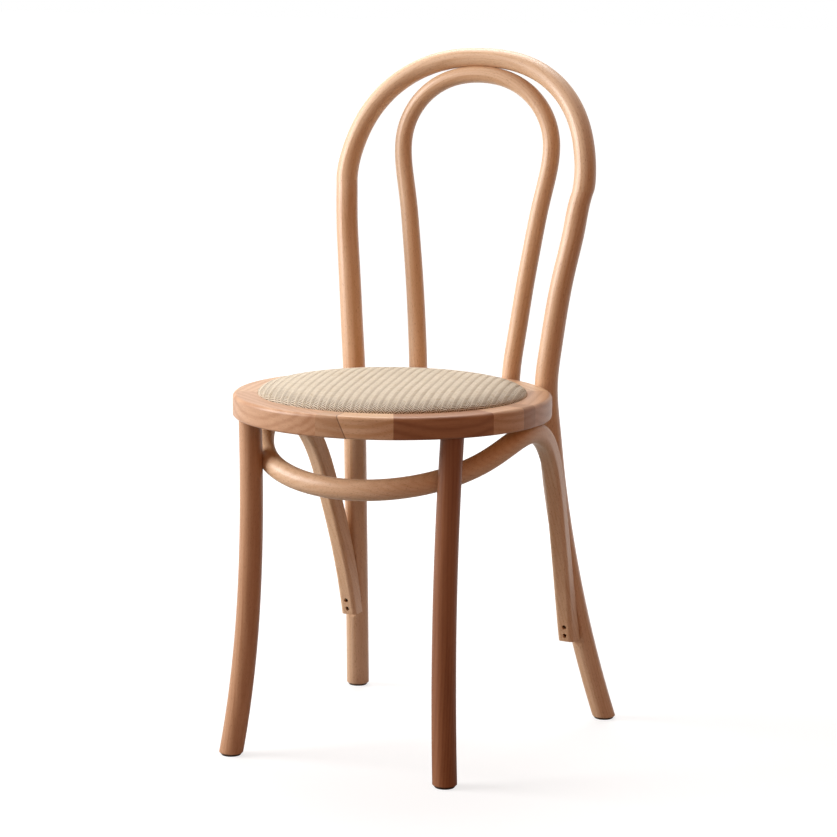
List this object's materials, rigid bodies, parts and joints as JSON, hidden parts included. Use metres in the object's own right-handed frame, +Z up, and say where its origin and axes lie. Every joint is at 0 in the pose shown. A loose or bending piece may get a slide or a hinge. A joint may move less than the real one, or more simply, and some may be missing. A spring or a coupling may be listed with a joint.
{
  "type": "bentwood chair",
  "caption": "Bentwood cafe chair with a round wooden seat rim, woven drop-in pad, arched back with an inner loop, and a continuous bent brace under the seat.",
  "frame": {"origin": "on the floor, at the middle of the chair's box", "axes": "+Z up, +X to the sitter's left as seen from the front (right in the picture), +Y to the back"},
  "size_m": [0.4058, 0.4738, 0.8867],
  "materials": {
    "bent_beech": "satin clear lacquer",
    "rim_beech": "satin clear lacquer",
    "dowel_wood": "bare",
    "plywood": "bare",
    "foam": "matte",
    "woven_cord": "woven, matte",
    "screw_steel": "dark zinc",
    "glide_plastic": "matte"
  },
  "bodies": {
    "root": {"front_leg_left": "bent_beech", "back_post_left": "bent_beech", "front_leg_right": "bent_beech", "back_post_right": "bent_beech", "back_arch": "bent_beech", "inner_loop": "bent_beech", "brace": "bent_beech", "rim_segment_1": "rim_beech", "rim_segment_2": "rim_beech", "rim_segment_3": "rim_beech", "rim_segment_4": "rim_beech", "rim_segment_5": "rim_beech", "rim_segment_6": "rim_beech", "rim_segment_7": "rim_beech", "rim_segment_8": "rim_beech", "rim_segment_9": "rim_beech", "rim_segment_10": "rim_beech", "rim_segment_11": "rim_beech", "rim_dowels": "dowel_wood", "shoulder_dowels": "dowel_wood", "apex_dowel": "dowel_wood", "post_screws": "screw_steel", "loop_screws": "screw_steel", "panel_screws": "screw_steel", "brace_peak_screws": "screw_steel", "brace_leg_screws": "screw_steel", "brace_end_screws": "screw_steel", "front_glide_left": "glide_plastic", "front_glide_right": "glide_plastic", "rear_glide_left": "glide_plastic", "rear_glide_right": "glide_plastic", "seat_panel": "plywood", "seat_foam": "foam", "woven_cover": "woven_cord"}
  },
  "joints": []
}
